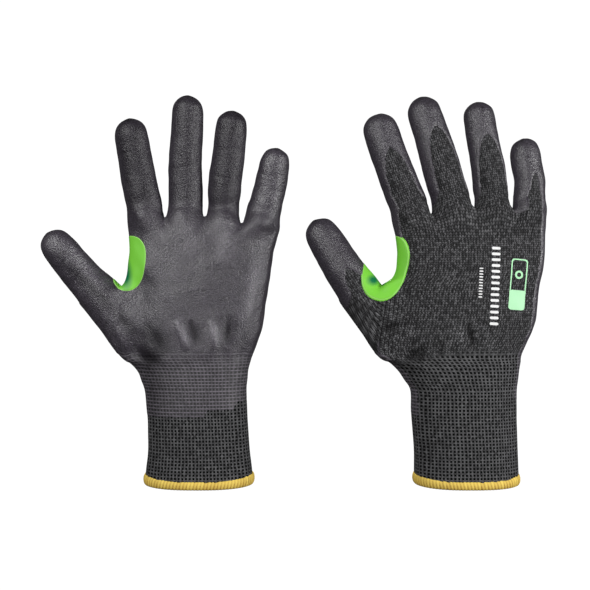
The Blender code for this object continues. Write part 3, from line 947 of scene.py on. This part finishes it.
def cuff_outline(surface, z, offset, count):
    """Evenly spaced places round the cuff at a height, with their outward directions."""
    left, right, depth = row_at(surface.glove, z)
    turns = np.linspace(0.0, 2 * math.pi, 1441)[:-1]
    c, s = np.cos(turns), np.sin(turns)
    power = 2 / SECTION_POWER
    x = (left + right) / 2 + (right - left) / 2 * np.sign(c) * np.abs(c) ** power
    p = depth * np.sign(s) * np.abs(s) ** power
    ring = np.stack([x, p], 1)
    ahead = np.roll(ring, -1, 0)
    length = np.concatenate([[0.0], np.cumsum(np.linalg.norm(ahead - ring, axis=1))])
    closed = np.vstack([ring, ring[:1]])
    wanted = np.arange(count) * length[-1] / count
    even = np.stack([np.interp(wanted, length, closed[:, k]) for k in (0, 1)], 1)
    way = np.roll(even, -2, 0) - np.roll(even, 2, 0)
    way /= np.linalg.norm(way, axis=1, keepdims=True)
    out = np.stack([way[:, 1], -way[:, 0]], 1)
    return even + out * offset, out, length[-1]


def ring_faces(steps, sides):
    """Quads of a tube that closes on itself."""
    faces = []
    for i in range(steps):
        j = (i + 1) % steps
        for k in range(sides):
            n = (k + 1) % sides
            faces.append((i * sides + k, j * sides + k, j * sides + n, i * sides + n))
    return faces


def hem_piece(surface, material):
    """The yellow overlocked edge: slanting stitches wrapped round the end of the cuff."""
    length = cuff_outline(surface, HEM_TOP, 0.0, 8)[2]
    stitches = round(length / HEM_STITCH)
    steps = stitches * HEM_STEPS
    places, out, _ = cuff_outline(surface, HEM_TOP, HEM_MIDDLE, steps)
    left, right, _ = row_at(surface.glove, HEM_TOP)
    points, gap = [], []
    loose = np.random.default_rng(7).uniform(size=stitches + 1)
    for i in range(steps):
        slack = loose[i // HEM_STEPS]
        aside = abs(2 * places[i][0] - left - right) / (right - left)
        bottom = HEM_BOTTOM + HEM_SIDE_LIFT[0] * aside**3
        top = HEM_TOP + HEM_SIDE_LIFT[1] * aside**3
        top -= 0.5 * slack**3
        for k in range(HEM_SIDES):
            turn = 2 * math.pi * k / HEM_SIDES
            wave = abs(math.sin(math.pi * (i / HEM_STEPS + 0.3 * math.sin(turn))))
            thread = wave**0.5
            wide = HEM_HALF_THICKNESS * math.cos(turn) * (0.78 + 0.22 * thread)
            high = (top - bottom) / 2 * math.sin(turn) * (0.92 + 0.08 * thread)
            x, p = places[i] + out[i] * wide
            points.append((x, p, (top + bottom) / 2 + high))
            # Painted shade for the hem: more in the gaps between stitches and on its lower side, and
            # a little more on looser stitches.
            gap.append((1.0 - thread) * (0.8 - 0.4 * math.sin(turn)) + 0.25 * slack)
    name, faces = f"{surface.side}_hem_stitches", ring_faces(steps, HEM_SIDES)
    obj = plain_piece(name, surface, points, faces, material, {"gap": gap})
    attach(obj, f"{surface.side}_cuff")
    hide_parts(f"{surface.side}_cuff_hem")


def thread_piece(surface, material):
    """The elastic thread that winds up inside the cuff."""
    count, sides = THREAD_TURNS * THREAD_STEPS, THREAD_SIDES
    inset = -LINER_THICKNESS - THREAD_GAP
    points = []
    for i in range(count + 1):
        z = mix(*THREAD_HEIGHTS, i / count)
        places, out, _ = cuff_outline(surface, z, inset, THREAD_STEPS)
        centre, away = places[i % THREAD_STEPS], out[i % THREAD_STEPS]
        for k in range(sides):
            turn = 2 * math.pi * k / sides
            x, p = centre + away * THREAD_RADIUS * math.cos(turn)
            points.append((x, p, z + THREAD_RADIUS * math.sin(turn)))
    faces = [f for f in ring_faces(count + 1, sides) if max(f) - min(f) < 2 * sides + 1]
    faces.append(tuple(range(sides)))
    faces.append(tuple(range(len(points) - 1, len(points) - 1 - sides, -1)))
    obj = plain_piece(f"{surface.side}_elastic_thread", surface, points, faces, material)
    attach(obj, f"{surface.side}_cuff")
    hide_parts(f"{surface.side}_cuff_elastic")


def rounded_outline(width, height, radius):
    """Evenly spaced points round a rectangle with rounded corners."""
    turns = 2 * math.pi * (np.arange(64) + 0.5) / 64
    c, s = np.cos(turns), np.sin(turns)
    x = np.sign(c) * (width / 2 - radius) + radius * c
    y = np.sign(s) * (height / 2 - radius) + radius * s
    ring = np.stack([np.append(x, x[0]), np.append(y, y[0])], 1)
    length = np.append(0.0, np.cumsum(np.linalg.norm(np.diff(ring, axis=0), axis=1)))
    count = 4 * max(4, round(length[-1] / PRINT_STEP / 4))
    wanted = np.arange(count) * length[-1] / count
    return np.stack([np.interp(wanted, length, ring[:, k]) for k in (0, 1)], 1)


class Print:
    """Flat shapes laid on the back of the glove."""

    def __init__(self, surface, skin, normals):
        self.normals = normals
        self.skin = skin
        self.quads = surface.quads
        self.tree = BVHTree.FromPolygons(skin.tolist(), surface.quads.tolist())
        self.points = []
        self.faces = []

    def lay(self, x, z):
        """Adds the point of the back that is seen at x and z."""
        hit, _, face, _ = self.tree.ray_cast(Vector((x, -60.0, z)), Vector((0, 1, 0)))
        normal = self.normals[self.quads[face]].mean(0)
        self.points.append(np.array(hit) + normal / np.linalg.norm(normal) * PRINT_LIFT)
        return len(self.points) - 1

    def rings(self, centre, lean, outlines, fill):
        """Joins outlines from the outside in; fill closes the middle."""
        c, s = math.cos(lean), math.sin(lean)
        loops = []
        for outline in outlines:
            turned = [(centre[0] + c * x + s * y, centre[1] - s * x + c * y) for x, y in outline]
            loops.append([self.lay(x, z) for x, z in turned])
        for outer, inner in zip(loops, loops[1:]):
            for k in range(len(outer)):
                n = (k + 1) % len(outer)
                self.faces.append((outer[k], outer[n], inner[n], inner[k]))
        if fill:
            middle = self.lay(*centre)
            last = loops[-1]
            for k in range(len(last)):
                self.faces.append((last[k], last[(k + 1) % len(last)], middle))

    def patch(self, centre, lean, width, height, radius):
        """A filled rounded rectangle."""
        outline = rounded_outline(width, height, radius)
        self.rings(centre, lean, [outline * share for share in (1.0, 0.75, 0.5, 0.25)], True)

    def frame(self, centre, lean, width, height, radius, line):
        """The outline of a rounded rectangle."""
        outer = rounded_outline(width, height, radius)
        shares = 1.0 - 2.0 * line / np.array([width, height])
        self.rings(centre, lean, [outer, outer * shares], False)

    def finish(self, name, surface, material):
        """Makes the object from what has been laid."""
        obj = plain_piece(name, surface, self.points, self.faces, material)
        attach(obj, f"{surface.side}_hand")
        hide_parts(f"{surface.side}_size_badge")


def line_of(top, bottom):
    """A printed line's direction down the glove, its length and its lean."""
    way = np.array(bottom) - np.array(top)
    return way, float(np.linalg.norm(way)), math.atan2(-way[0], -way[1])


def print_pieces(surface, skin, normals, materials):
    """Plain marks on the back: two columns of bars, and a badge with its lower part filled."""
    bars = Print(surface, skin, normals)
    for mark in (MARK, SMALL_MARK):
        way, _, lean = line_of(mark["top"], mark["bottom"])
        width, height = mark["size"]
        for k in range(mark["count"]):
            centre = np.array(mark["top"]) + way * (k + 0.5) / mark["count"]
            bars.patch(centre, lean, width, height, height * 0.3)
    bars.finish(f"{surface.side}_bars_print", surface, materials["white_print"])
    badge = Print(surface, skin, normals)
    way, length, lean = line_of(BADGE["top"], BADGE["bottom"])
    top, width = np.array(BADGE["top"]), BADGE["width"]
    badge.frame(top + way / 2, lean, width, length, BADGE["corner"], BADGE["line"])
    patch = (width - PATCH["inset"], length * PATCH["share"], PATCH["corner"])
    badge.patch(top + way * PATCH["place"], lean, *patch)
    ring = (RING["size"], RING["size"], RING["corner"], RING["line"])
    badge.frame(top + way * RING["place"], lean, *ring)
    badge.finish(f"{surface.side}_badge_print", surface, materials["green_print"])


def coating_node(part):
    """The CAD piece that a piece of coating stands for."""
    return {"cuff": "cuff_coating", "hand": "palm_coating"}.get(part, f"{part}_coating")


def pad_node(_):
    """The CAD piece that every piece of the pad stands for."""
    return "thumb_crotch_pad"


def build_glove(side, materials):
    """All of one glove's pieces."""
    surface = Surface(side)
    skin = surface.points + surface.normals * relief(surface)[:, None]
    normals = vertex_normals(skin, surface.quads)
    coat, pad = coat_field(surface), pad_field(surface)
    hem_piece(surface, materials["hem"])
    thread_piece(surface, materials["elastic"])
    print_pieces(surface, skin, normals, materials)
    x, _, z = surface.points.T
    side, swing, middle, width = CUFF_STITCH_LINE
    line = side + swing * np.cos((x - middle) / width)
    soak = 1.0 - smoothstep(*SOAKED, z)
    fields = {
        "cuff": smoothstep(3.0, -3.0, z - line),
        "soak": soak,
        "deep": pad,
        "shadow": pad_shadow(surface),
        # fold carries painted shade and painted light: lower in hollows and painted-dark places,
        # higher on ridges and painted-light places.
        "fold": painted_shading(surface),
    }
    liner_pieces(surface, skin, normals, fields, materials)
    thick, lost, sunk = COATING
    height = (thick - lost * soak) * smoothstep(-0.6, 1.3, coat) - sunk
    skins = (surface, skin, normals)
    foam = (coat, height, "foam", coating_node, fields, materials["coating"], "coating")
    layer_pieces(*skins, *foam)
    rise, sunk = PAD_RISE
    height = rise * smoothstep(-0.4, 0.5, pad) - sunk
    layer_pieces(*skins, pad, height, "pad", pad_node, fields, materials["pad"], "pad")


# ---------------------------------------------------------------- materials


def new_material(name):
    """A material with its nodes and links."""
    material = bpy.data.materials.new(name)
    material.use_nodes = True
    return material, material.node_tree.nodes, material.node_tree.links


def math_node(nodes, links, operation, a, b=None, c=None):
    """A math node on sockets or numbers; returns its result."""
    node = nodes.new("ShaderNodeMath")
    node.operation = operation
    for slot, value in enumerate((a, b, c)):
        if value is None:
            continue
        if isinstance(value, (int, float)):
            node.inputs[slot].default_value = value
        else:
            links.new(value, node.inputs[slot])
    return node.outputs[0]


def attribute(nodes, name, output="Fac"):
    """What the mesh says at each point."""
    node = nodes.new("ShaderNodeAttribute")
    node.attribute_name = name
    return node.outputs[output]


def colour_mix(nodes, links, share, a, b):
    """A colour between a and b."""
    node = nodes.new("ShaderNodeMix")
    node.data_type = "RGBA"
    for slot, value in ((0, share), (6, a), (7, b)):
        if isinstance(value, (int, float)):
            node.inputs[slot].default_value = value
        elif isinstance(value, tuple):
            node.inputs[slot].default_value = (*value, 1.0)
        else:
            links.new(value, node.inputs[slot])
    return node.outputs[2]


def noise(nodes, links, vector, scale, detail=2.0):
    """Cloudy grey of about this many grains in a metre."""
    node = nodes.new("ShaderNodeTexNoise")
    node.inputs["Scale"].default_value = scale
    node.inputs["Detail"].default_value = detail
    links.new(vector, node.inputs["Vector"])
    return node.outputs["Fac"]


def rest_place(nodes):
    """The point's place on the model at rest."""
    return nodes.new("ShaderNodeTexCoord").outputs["Object"]


def stitch_parts(nodes, links, across, up):
    """Stitch height, the yarn beside and above each hole, and a random shade."""
    m = partial(math_node, nodes, links)
    split = nodes.new("ShaderNodeSeparateXYZ")
    links.new(attribute(nodes, "stitch", "Vector"), split.inputs[0])
    u = m("MULTIPLY", split.outputs[0], across)
    v = m("MULTIPLY", split.outputs[1], up)
    side = m("ABSOLUTE", m("SUBTRACT", m("FRACT", u), 0.5))
    slant = m("MULTIPLY_ADD", side, 1.1, m("MULTIPLY", v, 1.2))
    between = m("MINIMUM", m("MULTIPLY", m("SUBTRACT", 0.5, side), 5.0), 1.0)
    middle = m("MULTIPLY_ADD", m("MINIMUM", m("MULTIPLY", side, 8.0), 1.0), 0.4, 0.6)
    leg = m("MULTIPLY", between, middle)
    course = m("POWER", m("ABSOLUTE", m("SINE", m("MULTIPLY", slant, math.pi))), 0.6)
    knit = m("MULTIPLY", leg, course)
    hole_v = m("ABSOLUTE", m("SUBTRACT", m("FRACT", v), 0.5))
    post, bar = [
        m("MINIMUM", m("MULTIPLY", m("MAXIMUM", m("SUBTRACT", way, 0.27), 0.0), 11.0), 1.0)
        for way in (m("MULTIPLY", side, 1.1), hole_v)
    ]
    cell = nodes.new("ShaderNodeCombineXYZ")
    links.new(m("FLOOR", m("MULTIPLY", u, 2.0)), cell.inputs[0])
    links.new(m("FLOOR", slant), cell.inputs[1])
    shade = nodes.new("ShaderNodeTexWhiteNoise")
    shade.noise_dimensions = "2D"
    links.new(cell.outputs[0], shade.inputs["Vector"])
    return knit, post, bar, shade.outputs["Value"]


def bump(nodes, links, shader, height, strength, distance):
    """Lets the light see a height that the mesh does not have."""
    node = nodes.new("ShaderNodeBump")
    node.inputs["Strength"].default_value = strength
    node.inputs["Distance"].default_value = distance
    links.new(height, node.inputs["Height"])
    links.new(node.outputs[0], shader.inputs["Normal"])


def painted_shading_share(nodes, links):
    """Below one where shade is painted, as in a hollow of the gathered fabric, and above one where
    light is painted, as on its ridges.
    """
    height = attribute(nodes, "fold")
    share = math_node(nodes, links, "MULTIPLY_ADD", height, 0.60, 1.0)
    return math_node(nodes, links, "MAXIMUM", share, 0.25)


def scaled(nodes, links, colour, share):
    """A colour made darker or brighter."""
    node = nodes.new("ShaderNodeVectorMath")
    node.operation = "SCALE"
    links.new(colour, node.inputs[0])
    links.new(share, node.inputs[3])
    return node.outputs[0]


def knit_material():
    """Near-black seamless knit: fine stitches on the hand, an open square mesh on the cuff."""
    material, nodes, links = new_material("dark_knit")
    shader = nodes["Principled BSDF"]
    knit, _, _, shade = stitch_parts(nodes, links, *HAND_STITCH)
    _, post, bar, mesh_shade = stitch_parts(nodes, links, *CUFF_STITCH)
    cuff = attribute(nodes, "cuff")

    m = partial(math_node, nodes, links)
    ridge = m("MAXIMUM", post, bar)
    glint = m("POWER", shade, 2.0)
    bright = m("MULTIPLY", knit, m("MULTIPLY_ADD", glint, 0.9, 0.25))
    hand_colour = colour_mix(nodes, links, bright, (0.0005, 0.0005, 0.0005), (0.150, 0.149, 0.155))
    yarn = m("MULTIPLY", ridge, m("MULTIPLY_ADD", mesh_shade, 0.6, 0.35))
    cuff_colour = colour_mix(nodes, links, yarn, (0.0002, 0.0002, 0.0002), (0.125, 0.125, 0.129))
    colour = colour_mix(nodes, links, cuff, hand_colour, cuff_colour)
    # Painted shade and painted light from the fold field scale the knit's colour.
    colour = scaled(nodes, links, colour, painted_shading_share(nodes, links))
    links.new(colour, shader.inputs["Base Color"])
    shader.inputs["Roughness"].default_value = 0.8
    shader.inputs["Specular IOR Level"].default_value = 0.1
    height = nodes.new("ShaderNodeMix")
    links.new(cuff, height.inputs[0])
    links.new(knit, height.inputs[2])
    links.new(m("MULTIPLY", ridge, 1.6), height.inputs[3])
    bump(nodes, links, shader, height.outputs[0], 0.6, 0.0005)
    return material


def coating_material():
    """Dark grey nitrile foam: softly shining, finely pitted, soaked thin towards the cuff."""
    material, nodes, links = new_material("foam_coating")
    shader = nodes["Principled BSDF"]
    _, post, bar, shade = stitch_parts(nodes, links, *CUFF_STITCH)
    knit, _, _, _ = stitch_parts(nodes, links, *HAND_STITCH)
    soak = attribute(nodes, "soak")
    place = rest_place(nodes)
    grain = noise(nodes, links, place, 1250.0, 2.0)
    cloud = noise(nodes, links, place, 70.0, 3.0)

    m = partial(math_node, nodes, links)
    pebble = m("MINIMUM", m("MAXIMUM", m("MULTIPLY_ADD", grain, 4.5, -1.75), 0.0), 1.0)
    ribbed = m("MULTIPLY_ADD", knit, 0.35, m("MULTIPLY", cloud, 0.25))
    tone = m("MULTIPLY_ADD", pebble, 0.45, ribbed)
    foam = colour_mix(nodes, links, tone, (0.000, 0.000, 0.000), (0.066, 0.056, 0.074))
    mesh = m("MAXIMUM", bar, m("MULTIPLY", post, 0.5))
    loop = m("MULTIPLY", mesh, m("MULTIPLY_ADD", shade, 0.7, 0.5))
    thin = colour_mix(nodes, links, loop, (0.0005, 0.0005, 0.001), (0.144, 0.128, 0.153))
    seen = m("MULTIPLY", soak, 0.95)
    # Painted shade and painted light from the fold field scale the foam's colour and its shine.
    share = painted_shading_share(nodes, links)
    colour = scaled(nodes, links, colour_mix(nodes, links, seen, foam, thin), share)
    links.new(colour, shader.inputs["Base Color"])
    wear = m("MULTIPLY_ADD", cloud, 0.30, m("MULTIPLY_ADD", soak, 0.20, 0.26))
    links.new(wear, shader.inputs["Roughness"])
    links.new(m("MULTIPLY", share, 0.78), shader.inputs["Specular IOR Level"])
    plain = m("SUBTRACT", 1.0, soak)
    height = m("MULTIPLY_ADD", m("MULTIPLY", mesh, soak), 0.8, m("MULTIPLY", grain, plain))
    bump(nodes, links, shader, height, 0.8, 0.0006)
    return material


def pad_material():
    """Lime green nitrile with a pale edge, and painted shade in deep blue-green where it turns into
    the crotch.
    """
    material, nodes, links = new_material("green_pad")
    shader = nodes["Principled BSDF"]
    deep = attribute(nodes, "deep")
    shadow = attribute(nodes, "shadow")

    m = partial(math_node, nodes, links)
    from_rim = m("MULTIPLY", m("ABSOLUTE", m("SUBTRACT", deep, 0.30)), 4.0)
    rim = m("MULTIPLY", m("SUBTRACT", 1.0, m("MINIMUM", from_rim, 1.0)), 0.6)
    lime = colour_mix(nodes, links, rim, (0.190, 0.600, 0.048), (0.46, 0.74, 0.26))
    # Painted shade: the pad turns deep blue-green where its shadow field is high.
    dark = m("MINIMUM", m("MAXIMUM", m("MULTIPLY", shadow, 1.4), 0.0), 1.0)
    links.new(colour_mix(nodes, links, dark, lime, (0.0, 0.150, 0.055)), shader.inputs["Base Color"])
    shader.inputs["Roughness"].default_value = 0.5
    shader.inputs["Specular IOR Level"].default_value = 0.3
    return material


def hem_material():
    """Yellow overlock yarn, with painted shade in deep golden brown in the gaps between its stitches
    and on its lower side.
    """
    material, nodes, links = new_material("yellow_yarn")
    shader = nodes["Principled BSDF"]
    gap = attribute(nodes, "gap")
    fibre = noise(nodes, links, rest_place(nodes), 2400.0, 2.0)
    # The painted shade turns the yellow yarn towards deep golden brown.
    share = math_node(nodes, links, "MULTIPLY_ADD", fibre, 0.25, gap)
    colour = colour_mix(nodes, links, share, (0.95, 0.72, 0.15), (0.36, 0.17, 0.02))
    links.new(colour, shader.inputs["Base Color"])
    shader.inputs["Roughness"].default_value = 0.75
    shader.inputs["Specular IOR Level"].default_value = 0.25
    return material


def plain_material(name, colour, roughness):
    """One colour all over."""
    material, nodes, _ = new_material(name)
    shader = nodes["Principled BSDF"]
    shader.inputs["Base Color"].default_value = (*colour, 1.0)
    shader.inputs["Roughness"].default_value = roughness
    return material


def make_materials():
    """All the materials of both gloves."""
    return {
        "knit": knit_material(),
        "coating": coating_material(),
        "pad": pad_material(),
        "hem": hem_material(),
        "elastic": plain_material("elastic_thread", (0.08, 0.08, 0.08), 0.6),
        "white_print": plain_material("white_print", (0.80, 0.80, 0.80), 0.6),
        "green_print": plain_material("green_print", (0.42, 0.80, 0.46), 0.6),
    }


# ---------------------------------------------------------------- stage


def add_lamp(name, place, size, power):
    """A round soft lamp that points at the gloves."""
    data = bpy.data.lights.new(name, "AREA")
    data.shape = "DISK"
    data.size = size
    data.energy = power
    obj = add_object(name, data)
    obj.location = place
    obj.rotation_euler = (Vector(AIM) - Vector(place)).to_track_quat("-Z", "Y").to_euler()
    return obj


def lay_floor():
    """The plain white floor that the cuffs stand on; from below one sees through it."""
    material, nodes, links = new_material("white_floor")
    nodes.clear()
    white = nodes.new("ShaderNodeEmission")
    white.inputs["Strength"].default_value = SURROUND
    under = nodes.new("ShaderNodeBsdfTransparent")
    side = nodes.new("ShaderNodeNewGeometry")
    choose = nodes.new("ShaderNodeMixShader")
    output = nodes.new("ShaderNodeOutputMaterial")
    links.new(side.outputs["Backfacing"], choose.inputs[0])
    links.new(white.outputs[0], choose.inputs[1])
    links.new(under.outputs[0], choose.inputs[2])
    links.new(choose.outputs[0], output.inputs[0])
    signs = [(-1, -1), (1, -1), (1, 1), (-1, 1)]
    corners = [(x * FLOOR_REACH, y * FLOOR_REACH, 0.0) for x, y in signs]
    mesh = bpy.data.meshes.new("floor")
    mesh.from_pydata(corners, [], [(0, 1, 2, 3)])
    mesh.materials.append(material)
    obj = add_object("floor", mesh)
    obj.visible_diffuse = False
    obj.visible_glossy = False
    obj.visible_transmission = False
    obj.visible_shadow = False


def studio():
    """A white surround and soft lamps."""
    scene = bpy.context.scene
    scene.view_settings.view_transform = "Standard"
    world_data = bpy.data.worlds.new("white_surround")
    scene.world = world_data
    world_data.use_nodes = True
    nodes, links = world_data.node_tree.nodes, world_data.node_tree.links
    nodes.clear()
    path = nodes.new("ShaderNodeLightPath")
    choose = nodes.new("ShaderNodeMixShader")
    output = nodes.new("ShaderNodeOutputWorld")
    links.new(path.outputs["Is Camera Ray"], choose.inputs[0])
    for slot, strength in ((1, SURROUND_LIGHT), (2, SURROUND)):
        white = nodes.new("ShaderNodeBackground")
        white.inputs["Color"].default_value = (1.0, 1.0, 1.0, 1.0)
        white.inputs["Strength"].default_value = strength
        links.new(white.outputs[0], choose.inputs[slot])
    links.new(choose.outputs[0], output.inputs[0])
    lamps = {name: add_lamp(name, *about) for name, about in LAMPS.items()}
    lamps["behind"].visible_glossy = False


def camera():
    """A level view from in front of the pair."""
    data = bpy.data.cameras.new("camera")
    obj = add_object("camera", data)
    obj.location = (CAMERA_SIDE, -CAMERA_DISTANCE, CAMERA_HEIGHT)
    obj.rotation_euler = (math.pi / 2, 0.0, 0.0)
    data.sensor_width = SENSOR_WIDTH
    data.lens = SENSOR_WIDTH * CAMERA_DISTANCE / VIEW_WIDTH
    bpy.context.scene.camera = obj


def clear_scene():
    """Starts from nothing."""
    for obj in list(bpy.data.objects):
        bpy.data.objects.remove(obj, do_unlink=True)


def main():
    """Both gloves with the CAD they stand for, and the stage."""
    clear_scene()
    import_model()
    materials = make_materials()
    for side in GLOVES:
        build_glove(side, materials)
    lay_floor()
    studio()
    camera()


main()
